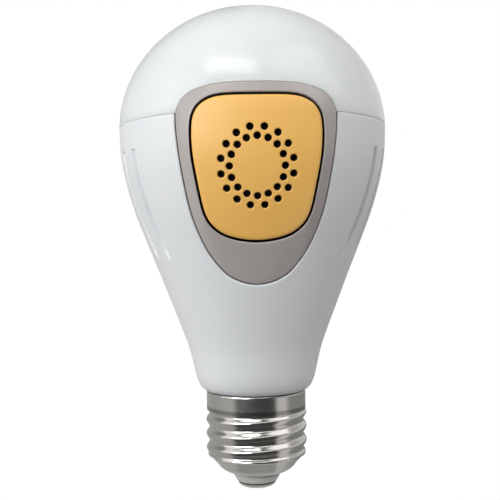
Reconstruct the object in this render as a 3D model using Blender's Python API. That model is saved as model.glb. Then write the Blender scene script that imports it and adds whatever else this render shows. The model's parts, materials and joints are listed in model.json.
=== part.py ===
"""Smart light bulb with a removable sound module.

Driving dimensions are in millimetres and are turned into metres when a mesh is made.
The origin is the centre of the flat underside of the centre contact, +Z runs along the
bulb's axis towards the dome, and the sound module faces -Y.
"""
import math

import bmesh
import bpy

MM = 0.001
GAP = 0.3                      # clearance between neighbouring solids

# outer skin: (height, radius) of the plastic body, then an ellipse for the dome
BODY_SKIN = ((27.5, 15.0), (29.0, 15.45), (32.0, 16.15), (36.0, 17.1), (40.0, 18.45),
             (48.0, 21.5), (56.0, 24.6), (64.0, 27.8), (72.0, 30.8), (80.0, 33.05),
             (86.0, 34.05), (93.3, 34.39))
BODY_BOTTOM_Z = 25.4
SEAM_Z = 93.3
WALL = 1.9
DOME_MID_Z = 92.5
DOME_RADIUS = 34.4
DOME_RISE = 31.9
DOME_WALL = 1.7
LATHE_STEPS = 40
CAP_STEPS = 36

# standard 26 mm lamp cap
THREAD_PITCH = 3.629
THREAD_MEAN_R = 12.7
THREAD_DEPTH = 0.8
THREAD_FIRST_CREST_Z = 17.65   # height of a crest on the -X side
THREAD_LOW_Z = 8.6
THREAD_HIGH_Z = 20.6
CAP_TOP_Z = 25.1
CAP_BAND_R = 12.9
CAP_BORE_R = 11.5
SPIGOT_R = 11.2
SPIGOT_LOW_Z = 16.0

# flutes pressed into both sides of the body
FLUTES_PER_SIDE = 6
FLUTE_SPACING = 6.9
FLUTE_HALF_WIDTH = 1.2
FLUTE_TOP_DEPTH = 0.55         # the floor runs straight from here down to the skin
FLUTE_LOW_Z = 59.6
FLUTE_HIGH_Z = 86.6

# half outlines seen from the front, (x, z), from the top centre to the bottom centre
BEZEL_OUTLINE = ((0.0, 99.6), (8.0, 99.5), (13.4, 98.6), (16.5, 97.0), (18.2, 94.3),
                 (18.35, 91.5), (18.0, 87.0), (16.5, 79.0), (14.45, 70.0), (11.3, 62.3),
                 (7.8, 57.3), (5.2, 55.2), (2.6, 54.15), (0.0, 53.8))
OPENING_OUTLINE = ((0.0, 97.15), (8.5, 97.0), (12.5, 95.6), (14.6, 93.1), (15.3, 89.7),
                   (15.0, 84.0), (13.8, 77.2), (11.95, 70.0), (9.1, 66.3), (5.0, 64.25),
                   (0.0, 63.55))
OUTLINE_COUNT = 40
FACE_RADIUS = 55.0             # the front face is flatter than the round body
BEZEL_THICK = 2.0
COVER_GAP = 0.5
COVER_THICK = 1.6

# grille: two rings of holes, oval because the face leans back
GRILLE_Z = 80.7
HOLE_RADIUS = 0.84
HOLES_PER_RING = 16
OUTER_RING = (8.4, 8.87)
INNER_RING = (6.34, 6.68)

# depths of the bay behind the face
LINER_WALL = 1.2
LINER_RIM_SLOPE = 1.35         # the rim leans back like the rear of the bezel
LINER_FLOOR_Y = -4.5
LINER_BACK_Y = -3.0
CASE_BACK_Y = -15.3
CASE_WALL = 1.1
CARRIAGE_FRONT_Y = -14.9
PIN_Z = 68.8
PIN_X = (-3.3, -1.1, 1.1, 3.3)

# light engine
PLATE_LOW_Z = 99.0
PLATE_HIGH_Z = 100.5
PLATE_R = 27.0
LED_BOARD_R = 24.0
LED_RING_R = 17.5
LED_COUNT = 12
LED_SCREW_SPOTS = ((0.0, 9.5), (9.0, -3.0), (-9.0, -3.0))
LEAD_HOLE = (1.0, 14.5)


def clear_scene():
    """Remove whatever the file starts with."""
    for old in list(bpy.data.objects):
        bpy.data.objects.remove(old, do_unlink=True)


def finish(name, colour, roughness, metallic=0.0):
    """Principled material with one colour, roughness and metallic value."""
    material = bpy.data.materials.new(name)
    material.use_nodes = True
    shader = material.node_tree.nodes["Principled BSDF"]
    shader.inputs["Base Color"].default_value = (*colour, 1.0)
    shader.inputs["Roughness"].default_value = roughness
    shader.inputs["Metallic"].default_value = metallic
    return material


def place(name, bm, material, smooth_angle=35.0):
    """Turn a bmesh in millimetres into a named object in metres."""
    bmesh.ops.scale(bm, verts=bm.verts, vec=(MM, MM, MM))
    bmesh.ops.recalc_face_normals(bm, faces=bm.faces)
    mesh = bpy.data.meshes.new(name)
    bm.to_mesh(mesh)
    bm.free()
    mesh.shade_smooth()
    mesh.set_sharp_from_angle(angle=math.radians(smooth_angle))
    piece = bpy.data.objects.new(name, mesh)
    bpy.context.collection.objects.link(piece)
    if material:
        mesh.materials.append(material)
    return piece


def bevel(piece, width, segments=1):
    """Round the edges of a block."""
    rounding = piece.modifiers.new("rounding", "BEVEL")
    rounding.width = width * MM
    rounding.segments = segments
    rounding.limit_method = "ANGLE"
    return piece


def cut(piece, cutter, operation="DIFFERENCE"):
    """Boolean a piece with a cutter that isn't itself part of the model."""
    cutter.hide_render = True
    cutter.display_type = "WIRE"
    boolean = piece.modifiers.new("cut", "BOOLEAN")
    boolean.operation = operation
    boolean.solver = "EXACT"
    boolean.object = cutter
    return piece


def lathe(name, profile, material, steps=LATHE_STEPS, turn=2.0 * math.pi):
    """Spin a profile of (radius, height) points about Z.

    A profile that starts and ends on the axis stays open there, any other is closed.
    """
    bm = bmesh.new()
    verts = [bm.verts.new((radius, 0.0, height)) for radius, height in profile]
    edges = [bm.edges.new(pair) for pair in zip(verts, verts[1:])]
    on_axis = profile[0][0] == 0.0 and profile[-1][0] == 0.0
    if not on_axis:
        edges.append(bm.edges.new((verts[-1], verts[0])))
    full = abs(turn - 2.0 * math.pi) < 1e-6
    if not full:
        bm.faces.new(verts)
    geometry = list(bm.verts) + list(bm.edges) + list(bm.faces)
    bmesh.ops.spin(bm, geom=geometry, cent=(0, 0, 0), axis=(0, 0, 1), angle=turn,
                   steps=steps, use_merge=full)
    bmesh.ops.remove_doubles(bm, verts=bm.verts, dist=1e-4)
    return place(name, bm, material)


def block(name, low, high, material, rounding=0.2):
    """Box between two corners, with its edges taken off."""
    bm = bmesh.new()
    bmesh.ops.create_cube(bm, size=1.0)
    size = [b - a for a, b in zip(low, high)]
    middle = [(a + b) / 2 for a, b in zip(low, high)]
    bmesh.ops.scale(bm, verts=bm.verts, vec=size)
    bmesh.ops.translate(bm, verts=bm.verts, vec=middle)
    piece = place(name, bm, material)
    if rounding:
        bevel(piece, rounding)
    return piece


def boxes(name, corner_pairs):
    """One cutter made of separate boxes."""
    bm = bmesh.new()
    for low, high in corner_pairs:
        made = bmesh.ops.create_cube(bm, size=1.0)["verts"]
        bmesh.ops.scale(bm, verts=made, vec=[b - a for a, b in zip(low, high)])
        bmesh.ops.translate(bm, verts=made, vec=[(a + b) / 2 for a, b in zip(low, high)])
    return place(name, bm, None)


def wire(name, points, radius, material, sides=1):
    """Round wire through points, with filled ends."""
    curve = bpy.data.curves.new(name, "CURVE")
    curve.dimensions = "3D"
    curve.bevel_depth = radius * MM
    curve.bevel_resolution = sides
    curve.use_fill_caps = True
    spline = curve.splines.new("POLY")
    spline.points.add(len(points) - 1)
    for spot, point in zip(spline.points, points):
        spot.co = (*[value * MM for value in point], 1.0)
    piece = bpy.data.objects.new(name, curve)
    bpy.context.collection.objects.link(piece)
    curve.materials.append(material)
    return piece


def loft(name, rings, material, closed=False):
    """Skin over rings of equal length, either capped or joined end to end."""
    bm = bmesh.new()
    made = [[bm.verts.new(point) for point in ring] for ring in rings]
    pairs = list(zip(made, made[1:]))
    if closed:
        pairs.append((made[-1], made[0]))
    for one, two in pairs:
        count = len(one)
        for i in range(count):
            j = (i + 1) % count
            bm.faces.new((one[i], one[j], two[j], two[i]))
    if not closed:
        bm.faces.new(made[0])
        bm.faces.new(made[-1])
    return place(name, bm, material)


def catmull(before, start, end, after, t):
    """Catmull-Rom value between start and end."""
    slope_in = (end - before) / 2
    slope_out = (after - start) / 2
    a = 2 * start - 2 * end + slope_in + slope_out
    b = 3 * end - 3 * start - 2 * slope_in - slope_out
    return ((a * t + b) * t + slope_in) * t + start


def skin_radius(z):
    """Radius of the outer skin at height z."""
    if z >= SEAM_Z:
        rise = (z - DOME_MID_Z) / DOME_RISE
        return DOME_RADIUS * math.sqrt(max(1.0 - rise * rise, 0.0))
    last = len(BODY_SKIN) - 2
    index = 0
    while index < last and BODY_SKIN[index + 1][0] < z:
        index += 1
    (z0, r0), (z1, r1) = BODY_SKIN[index], BODY_SKIN[index + 1]
    zb, rb = BODY_SKIN[max(index - 1, 0)]
    za, ra = BODY_SKIN[min(index + 2, last + 1)]
    span = z1 - z0
    slope_in = (r1 - rb) / (z1 - zb) * span
    slope_out = (ra - r0) / (za - z0) * span
    t = (z - z0) / span
    a = 2 * r0 - 2 * r1 + slope_in + slope_out
    b = 3 * r1 - 3 * r0 - 2 * slope_in - slope_out
    return ((a * t + b) * t + slope_in) * t + r0


def face_y(x, z):
    """Depth of the flattened front face."""
    return -(skin_radius(z) - x * x / (2 * FACE_RADIUS))


def skin_y(x, z):
    """Depth of the round skin in front of the axis."""
    radius = skin_radius(z)
    return -math.sqrt(radius * radius - x * x)


def outline(half, count=OUTLINE_COUNT):
    """Smooth closed loop of (x, z) from a half outline, evenly spaced along its length."""
    loop = list(half) + [(-x, z) for x, z in half[-2:0:-1]]
    total = len(loop)
    fine = []
    for i in range(total):
        corners = [loop[(i + shift) % total] for shift in (-1, 0, 1, 2)]
        for step in range(12):
            fine.append(tuple(catmull(*[c[axis] for c in corners], step / 12) for axis in (0, 1)))
    lengths = [0.0]
    for one, two in zip(fine, fine[1:] + fine[:1]):
        lengths.append(lengths[-1] + math.dist(one, two))
    spaced = []
    seat = 0
    for i in range(count):
        target = lengths[-1] * i / count
        while lengths[seat + 1] < target:
            seat += 1
        t = (target - lengths[seat]) / (lengths[seat + 1] - lengths[seat])
        one, two = fine[seat], fine[(seat + 1) % len(fine)]
        spaced.append(tuple(a + (b - a) * t for a, b in zip(one, two)))
    return spaced


def grow(loop, distance):
    """Move each point of a clockwise loop outwards by a distance."""
    grown = []
    count = len(loop)
    for i, (x, z) in enumerate(loop):
        before, after = loop[i - 1], loop[(i + 1) % count]
        dx, dz = after[0] - before[0], after[1] - before[1]
        length = math.hypot(dx, dz)
        grown.append((x - dz / length * distance, z + dx / length * distance))
    return grown


def shrink_to(loop, centre, share):
    """Scale a loop towards a centre."""
    return [(centre[0] + (x - centre[0]) * share, centre[1] + (z - centre[1]) * share)
            for x, z in loop]


def on_face(loop, depth=0.0):
    """Loop laid on the front face, moved in by a depth."""
    return [(x, face_y(x, z) + depth, z) for x, z in loop]


def at_depth(loop, y):
    """Loop laid on a plane across Y."""
    return [(x, y, z) for x, z in loop]


def make_diffuser_dome(material):
    """Milky dome with a lip that drops into the body."""
    outer = [(DOME_RADIUS * math.sin(a), DOME_MID_Z + DOME_RISE * math.cos(a))
             for a in [math.radians(9 * i) for i in range(10)]]
    outer += [(skin_radius(SEAM_Z + GAP / 2), SEAM_Z + GAP / 2)]
    lip = [(32.1, SEAM_Z + GAP / 2), (32.1, 90.9), (30.9, 90.9), (30.9, 92.4)]
    inner_r, inner_rise = DOME_RADIUS - DOME_WALL, DOME_RISE - DOME_WALL
    inner = [(inner_r * math.sin(a), DOME_MID_Z + inner_rise * math.cos(a))
             for a in [math.radians(84 - 12 * i) for i in range(8)]]
    return lathe("diffuser_dome", outer + lip + inner, material)


def make_housing_shell(material):
    """Tapered plastic body with a spigot that goes into the cap."""
    outer = [(skin_radius(SEAM_Z), SEAM_Z - GAP / 2), (skin_radius(90.0), 90.0)]
    outer += [(radius, z) for z, radius in BODY_SKIN[-2::-1]]
    foot = [(14.3, 26.45), (13.8, 25.95), (13.1, BODY_BOTTOM_Z), (SPIGOT_R, BODY_BOTTOM_Z),
            (SPIGOT_R, SPIGOT_LOW_Z), (SPIGOT_R - 1.3, SPIGOT_LOW_Z), (SPIGOT_R - 1.3, 27.4), (13.4, 29.2)]
    inner = [(skin_radius(z) - WALL, z) for z in (34.0, 40.0, 48.0, 56.0, 64.0, 72.0, 80.0, 86.0)]
    inner.append((skin_radius(SEAM_Z) - WALL, SEAM_Z - GAP / 2))
    return lathe("housing_shell", outer + foot + inner, material)


def make_flute_cutter(name, side, place_in_row):
    """Bar with a straight floor that presses one flute into the curved body."""
    across = (place_in_row - (FLUTES_PER_SIDE - 1) / 2) * FLUTE_SPACING
    low_r, high_r = skin_radius(FLUTE_LOW_Z), skin_radius(FLUTE_HIGH_Z) - FLUTE_TOP_DEPTH
    rings = []
    for share in (0.0, 0.5, 1.0):
        z = FLUTE_LOW_Z + (FLUTE_HIGH_Z - FLUTE_LOW_Z) * share
        floor_r = low_r + (high_r - low_r) * share
        taper = 0.96 + 0.08 * share
        section = ((-1.0, 3.0), (1.0, 3.0), (1.0, 0.5), (0.6, 0.0), (-0.6, 0.0), (-1.0, 0.5))
        ring = []
        for side_share, height in section:
            angle = (across * taper + FLUTE_HALF_WIDTH * side_share) / skin_radius(z)
            reach = floor_r + height
            ring.append((side * reach * math.cos(angle), reach * math.sin(angle), z))
        rings.append(ring)
    return loft(name, rings, None)


def make_front_cutter():
    """Prism that opens the body and the dome for the bezel."""
    loop = grow(outline(BEZEL_OUTLINE), GAP)
    return loft("front_cutter", [at_depth(loop, -60.0), at_depth(loop, -15.0)], None)


def make_bezel(material):
    """Shield-shaped frame that runs from the round skin in to the flat face."""
    outer = outline(BEZEL_OUTLINE)
    inner = outline(OPENING_OUTLINE)
    front = []
    for share in (0.0, 0.5, 1.0):
        ring = []
        for (xi, zi), (xo, zo) in zip(inner, outer):
            x, z = xi + (xo - xi) * share, zi + (zo - zi) * share
            ring.append((x, face_y(x, z) * (1 - share) + skin_y(x, z) * share, z))
        front.append(ring)
    back = [[(x, y + BEZEL_THICK, z) for x, y, z in ring] for ring in (front[2], front[0])]
    return loft("bezel", front + back, material, closed=True)


def make_screw_shell(material):
    """Thin metal lamp cap with a right-hand rolled thread."""
    def ring(radius, z):
        return [(radius * math.cos(a), radius * math.sin(a), z)
                for a in [2 * math.pi * i / CAP_STEPS for i in range(CAP_STEPS)]]

    def threaded_ring(z):
        fade = min(1.0, (THREAD_HIGH_Z - z) / 1.2, (z - THREAD_LOW_Z) / 1.2)
        made = []
        for i in range(CAP_STEPS):
            angle = 2 * math.pi * i / CAP_STEPS
            turns = (z - THREAD_FIRST_CREST_Z) / THREAD_PITCH - (angle - math.pi) / (2 * math.pi)
            radius = THREAD_MEAN_R + THREAD_DEPTH / 2 * fade * math.cos(2 * math.pi * turns)
            made.append((radius * math.cos(angle), radius * math.sin(angle), z))
        return made

    rows = 18
    step = (THREAD_HIGH_Z - THREAD_LOW_Z) / rows
    rings = [ring(CAP_BAND_R, CAP_TOP_Z), ring(CAP_BAND_R, THREAD_HIGH_Z + 0.4)]
    rings += [threaded_ring(THREAD_HIGH_Z - step * i) for i in range(rows + 1)]
    bowl = ((12.0, 8.15), (10.7, 6.75), (9.5, 5.25), (8.1, 4.35), (6.2, 3.6), (5.7, 3.9),
            (8.2, 5.6), (9.4, 7.0), (CAP_BORE_R, 9.4), (CAP_BORE_R, CAP_TOP_Z))
    rings += [ring(*spot) for spot in bowl]
    return loft("screw_shell", rings, material, closed=True)


def make_cap_end(ceramic, metal):
    """Insulator and centre contact at the tip of the cap."""
    insulator = ((1.5, 1.5), (5.1, 1.5), (6.0, 3.0), (6.0, 3.4), (5.5, 3.5), (5.5, 6.0), (6.8, 7.0),
                 (6.8, 8.2), (1.5, 8.2))
    lathe("cap_insulator", insulator, ceramic, steps=24)
    contact = ((0.0, 6.5), (1.1, 6.5), (1.1, 1.2), (4.9, 1.2), (4.6, 0.6), (3.8, 0.15), (2.9, 0.0),
               (0.0, 0.0))
    lathe("centre_contact", contact, metal, steps=24)


def make_heat_sink(material):
    """Aluminium plate under the LEDs with a skirt round the back of the body."""
    skirt_heights = (89.0, 80.0, 72.0, 64.0, 58.0)
    outer = [(min(30.2, skin_radius(z) - WALL - 0.5), z) for z in skirt_heights]
    inner = [(radius - 1.2, z) for radius, z in reversed(outer)]
    profile = [(PLATE_R - 3, PLATE_HIGH_Z), (30.2, PLATE_HIGH_Z)] + outer + inner
    profile += [(29.0, PLATE_LOW_Z), (PLATE_R - 3, PLATE_LOW_Z)]
    skirt = lathe("heat_sink", profile, material, steps=24, turn=math.radians(250))
    skirt.rotation_euler = (0.0, 0.0, math.radians(-35))
    plate = ((0.0, PLATE_HIGH_Z), (PLATE_R, PLATE_HIGH_Z), (PLATE_R, PLATE_LOW_Z), (0.0, PLATE_LOW_Z))
    cut(skirt, lathe("plate_blank", plate, None, steps=32), "UNION")
    cut(skirt, make_post_cutter("plate_hole_cutter", 1.3))
    return skirt


def make_post_cutter(name, radius):
    """Cutter for the three screw holes and the lead hole of the light engine."""
    bm = bmesh.new()
    spots = [(x, y, radius) for x, y in LED_SCREW_SPOTS] + [(*LEAD_HOLE, 2.4)]
    for x, y, size in spots:
        made = bmesh.ops.create_cone(bm, segments=12, radius1=size, radius2=size, depth=20.0,
                                     cap_ends=True, cap_tris=False)["verts"]
        bmesh.ops.translate(bm, verts=made, vec=(x, y, PLATE_HIGH_Z))
    return place(name, bm, None)


def make_light_engine(board_finish, led_finish, steel):
    """LED board, its LEDs and its screws."""
    low, high = PLATE_HIGH_Z + GAP, PLATE_HIGH_Z + GAP + 1.2
    disc = ((0.0, high), (LED_BOARD_R, high), (LED_BOARD_R, low), (0.0, low))
    board = lathe("led_board", disc, board_finish, steps=32)
    cut(board, make_post_cutter("board_hole_cutter", 1.6))
    base = high + GAP
    for i in range(LED_COUNT):
        angle = 2 * math.pi * (i + 0.5) / LED_COUNT
        chip = block(f"led_{i + 1:02d}", (-1.4, -1.4, 0.0), (1.4, 1.4, 0.8), led_finish, 0.25)
        chip.location = (LED_RING_R * math.cos(angle) * MM, LED_RING_R * math.sin(angle) * MM, base * MM)
        chip.rotation_euler = (0.0, 0.0, angle)
    head = ((0.0, 1.6), (1.4, 1.5), (2.4, 0.8), (2.4, 0.0), (1.0, 0.0), (1.0, -2.9), (0.0, -2.9))
    for i, (x, y) in enumerate(LED_SCREW_SPOTS):
        screw = lathe(f"led_board_screw_{i + 1}", head, steel, steps=10)
        screw.location = (x * MM, y * MM, base * MM)


def make_bay_liner(material):
    """Dark pocket that the sound module slides into."""
    inner = outline(OPENING_OUTLINE)
    outer = grow(inner, LINER_WALL)
    rim = BEZEL_THICK + GAP
    lean = LINER_WALL * LINER_RIM_SLOPE
    front_outer = [(x, face_y(xi, zi) + rim + lean, z) for (x, z), (xi, zi) in zip(outer, inner)]
    rings = [at_depth(inner, LINER_FLOOR_Y), on_face(inner, rim), front_outer,
             at_depth(outer, LINER_BACK_Y)]
    liner = loft("bay_liner", rings, material)
    cut(liner, boxes("dock_window_cutter", [((-4.9, -6.0, 66.4), (4.9, -1.0, 71.2))]))
    return liner


def make_dock(plastic, gold, board_finish):
    """Contacts at the back of the bay, with their board and the link to the driver."""
    header = block("dock_header", (-4.6, -13.8, 66.8), (4.6, -3.0, 70.8), plastic, 0.0)
    holes = [((x - 0.6, -20.0, PIN_Z - 0.6), (x + 0.6, 0.0, PIN_Z + 0.6)) for x in PIN_X]
    cut(header, boxes("header_hole_cutter", holes))
    for i, x in enumerate(PIN_X):
        block(f"dock_pin_{i + 1}", (x - 0.3, -18.6, PIN_Z - 0.3), (x + 0.3, -3.0, PIN_Z + 0.3), gold, 0.12)
    block("dock_board", (-7.0, -2.7, 64.5), (7.0, -1.7, 73.0), board_finish, 0.0)
    block("board_link", (-4.0, -1.4, 67.0), (4.0, 2.3, 69.2), plastic, 0.3)


def make_latch(plastic, steel):
    """Push-to-release latch: a sprung carriage behind the module and a tracking wire."""
    carriage = block("eject_carriage", (-8.0, CARRIAGE_FRONT_Y, 76.0), (8.0, -12.9, 88.2), plastic, 0.0)
    cut(carriage, block("tongue_blank", (-4.2, -13.4, 84.2), (4.2, -6.6, 88.2), None, 0.0), "UNION")
    cut(carriage, block("track_cutter", (-1.8, -14.1, 86.6), (1.8, -7.4, 90.0), None, 0.0))
    bracket = block("latch_bracket", (-2.2, -7.4, 89.7), (2.2, -4.8, 93.0), plastic, 0.0)
    cut(bracket, block("pivot_cutter", (-0.8, -6.7, 88.0), (0.8, -5.1, 92.0), None, 0.0))
    path = ((0.0, -12.4, 87.05), (0.0, -12.4, 88.55), (0.0, -12.05, 88.9), (0.0, -6.25, 88.9),
            (0.0, -5.9, 89.25), (0.0, -5.9, 91.5))
    wire("latch_wire", path, 0.35, steel)
    for name, x in (("eject_spring_left", -5.9), ("eject_spring_right", 5.9)):
        turns, points_per_turn = 4, 7
        count = turns * points_per_turn
        coil = []
        for i in range(count + 1):
            angle = 2 * math.pi * i / points_per_turn
            coil.append((x + 1.5 * math.cos(angle), -12.3 + 7.2 * i / count, 79.5 + 1.5 * math.sin(angle)))
        wire(name, coil, 0.24, steel, sides=0)


def make_module_cover(material):
    """Front plate of the module with its ring of sound holes."""
    loop = grow(outline(OPENING_OUTLINE), -COVER_GAP)
    centre = (0.0, GRILLE_Z)
    shares = (0.1, 0.4, 0.7, 1.0)
    front = [on_face(shrink_to(loop, centre, share)) for share in shares]
    back = [on_face(shrink_to(loop, centre, share), COVER_THICK) for share in reversed(shares)]
    cover = loft("module_front_cover", front + back, material)
    bm = bmesh.new()
    for (reach_x, reach_z), offset in ((OUTER_RING, 0.5), (INNER_RING, 0.0)):
        for i in range(HOLES_PER_RING):
            angle = 2 * math.pi * (i + offset) / HOLES_PER_RING
            made = bmesh.ops.create_cone(bm, segments=8, radius1=HOLE_RADIUS, radius2=HOLE_RADIUS,
                                         depth=16.0, cap_ends=True, cap_tris=False)["verts"]
            for vert in made:
                vert.co = (vert.co.x + reach_x * math.sin(angle), vert.co.z - 32.0,
                           vert.co.y + GRILLE_Z + reach_z * math.cos(angle))
    cut(cover, place("grille_cutter", bm, None))
    return cover


def make_module_case(material):
    """Back shell of the module."""
    outer = grow(outline(OPENING_OUTLINE), -COVER_GAP - 0.2)
    inner = grow(outer, -CASE_WALL)
    rim = COVER_THICK + GAP
    rings = [at_depth(inner, CASE_BACK_Y - CASE_WALL), on_face(inner, rim), on_face(outer, rim),
             at_depth(outer, CASE_BACK_Y)]
    case = loft("module_case", rings, material)
    cut(case, boxes("socket_window_cutter", [((-5.3, -18.0, 66.5), (5.3, -14.0, 71.2))]))
    return case


def turned_piece(name, profile, material, y, steps=24):
    """Turned piece that faces -Y, centred on the grille."""
    piece = lathe(name, profile, material, steps=steps)
    piece.rotation_euler = (math.pi / 2, 0.0, 0.0)
    piece.location = (0.0, y * MM, GRILLE_Z * MM)
    return piece


def make_speaker(frame_finish, paper, magnet_finish, cloth):
    """Speaker behind the grille and the cloth in front of it."""
    basket = ((10.8, 4.2), (10.8, 3.2), (8.0, 0.0), (3.2, 0.0), (3.2, 0.8), (7.4, 0.8),
              (9.9, 3.2), (9.9, 4.2))
    turned_piece("speaker_basket", basket, frame_finish, -23.4)
    cone = ((0.0, 2.7), (2.0, 2.5), (3.2, 2.0), (8.4, 3.9), (9.5, 3.9), (9.5, 3.55), (8.4, 3.55),
            (3.3, 1.6), (0.0, 2.2))
    turned_piece("speaker_cone", cone, paper, -23.4)
    magnet = ((0.0, -0.3), (5.5, -0.3), (5.5, -1.4), (0.0, -1.4))
    turned_piece("speaker_magnet", magnet, magnet_finish, -23.4, steps=24)
    circle = [(10.6 * math.sin(a), GRILLE_Z + 10.6 * math.cos(a))
              for a in [2 * math.pi * i / 24 for i in range(24)]]
    shares = (0.3, 1.0)
    centre = (0.0, GRILLE_Z)
    gap = COVER_THICK + GAP
    front = [on_face(shrink_to(circle, centre, share), gap) for share in shares]
    back = [on_face(shrink_to(circle, centre, share), gap + 0.25) for share in reversed(shares)]
    loft("acoustic_mesh", front + back, cloth)


def make_module_inside(board_finish, tin, foil, plastic, black):
    """Board, radio, microphone, battery and socket inside the module."""
    loop = grow(outline(OPENING_OUTLINE), -2.5)
    loft("module_board", [at_depth(loop, -21.7), at_depth(loop, -20.7)], board_finish)
    block("radio_module", (-5.5, -23.8, 66.8), (5.5, -22.0, 69.6), tin, 0.25)
    capsule = ((0.0, 1.3), (1.3, 1.3), (1.5, 1.1), (1.5, 0.0), (0.0, 0.0))
    microphone = turned_piece("microphone", capsule, black, -22.0, steps=16)
    microphone.location.z = 93.4 * MM
    block("module_battery", (-9.0, -20.4, 72.5), (9.0, -16.8, 93.5), foil, 0.8)
    socket = block("module_socket", (-5.0, -20.4, 66.8), (5.0, -15.4, 70.9), plastic, 0.0)
    holes = [((x - 0.6, -20.0, PIN_Z - 0.6), (x + 0.6, -14.0, PIN_Z + 0.6)) for x in PIN_X]
    cut(socket, boxes("socket_hole_cutter", holes))


def make_driver(finishes):
    """Power supply on a board that stands in the neck and the back of the body."""
    shape = [(-8.5, 24.0), (8.5, 24.0), (8.5, 40.0), (13.0, 48.0), (13.0, 94.0), (-13.0, 94.0),
             (-13.0, 48.0), (-8.5, 40.0)]
    loft("driver_board", [at_depth(shape, 2.6), at_depth(shape, 4.0)], finishes["board_green"])
    can = ((0.0, 18.0), (4.0, 18.0), (5.0, 17.2), (5.0, 1.6), (4.6, 1.1), (5.0, 0.6),
           (4.6, 0.0), (0.0, 0.0))
    capacitor = lathe("bulk_capacitor", can, finishes["sleeve"], steps=16)
    capacitor.location = (0.0, 9.6 * MM, 42.0 * MM)
    core = block("transformer_core", (-8.0, 4.3, 63.0), (8.0, 16.3, 77.0), finishes["ferrite"], 0.4)
    cut(core, boxes("core_window_cutter", [((-5.4, 0.0, 65.6), (5.4, 20.0, 74.4))]))
    block("transformer_winding", (-5.0, 4.4, 66.0), (5.0, 16.6, 74.0), finishes["tape"], 1.2)
    toroid = ((4.5, 4.0), (4.5, 0.0), (2.0, 0.0), (2.0, 4.0))
    choke = lathe("filter_inductor", toroid, finishes["copper"], steps=20)
    choke.rotation_euler = (-math.pi / 2, 0.0, 0.0)
    choke.location = (7.0 * MM, 4.6 * MM, 86.5 * MM)
    block("film_capacitor", (-11.0, 4.3, 81.5), (-1.0, 9.3, 91.5), finishes["film_yellow"], 0.5)
    block("rectifier", (-3.3, 0.0, 44.0), (3.3, 2.3, 49.0), finishes["chip_black"], 0.4)
    block("driver_chip", (-2.5, 0.6, 54.0), (2.5, 2.3, 58.0), finishes["chip_black"], 0.3)
    body = ((0.0, 4.5), (1.2, 4.5), (1.6, 3.9), (1.6, -3.9), (1.2, -4.5), (0.0, -4.5))
    fuse = lathe("fuse_resistor", body, finishes["resistor"], steps=12)
    fuse.location = (-4.5 * MM, 0.6 * MM, 35.0 * MM)


def make_wires(finishes):
    """Leads from the driver to the cap and up to the LED board."""
    live = ((0.0, 0.0, 9.0), (0.6, -1.2, 13.0), (1.0, -2.2, 20.0), (1.4, -1.4, 27.0), (1.6, 0.8, 32.0))
    wire("live_wire", live, 0.55, finishes["wire_black"])
    neutral = ((-9.2, 0.0, 14.2), (-7.6, -1.6, 15.4), (-5.6, -3.4, 19.0), (-4.6, -3.2, 25.0),
               (-3.0, -0.4, 29.0))
    wire("neutral_wire", neutral, 0.55, finishes["wire_white"])
    for name, x, colour in (("led_lead_red", 0.3, "wire_red"), ("led_lead_black", 1.7, "wire_black")):
        top_y = LEAD_HOLE[1]
        path = ((x, 4.9, 90.0), (x, 6.4, 93.0), (x, 11.5, 95.0), (x, top_y, 97.5), (x, top_y, 103.2))
        wire(name, path, 0.5, finishes[colour])


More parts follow.
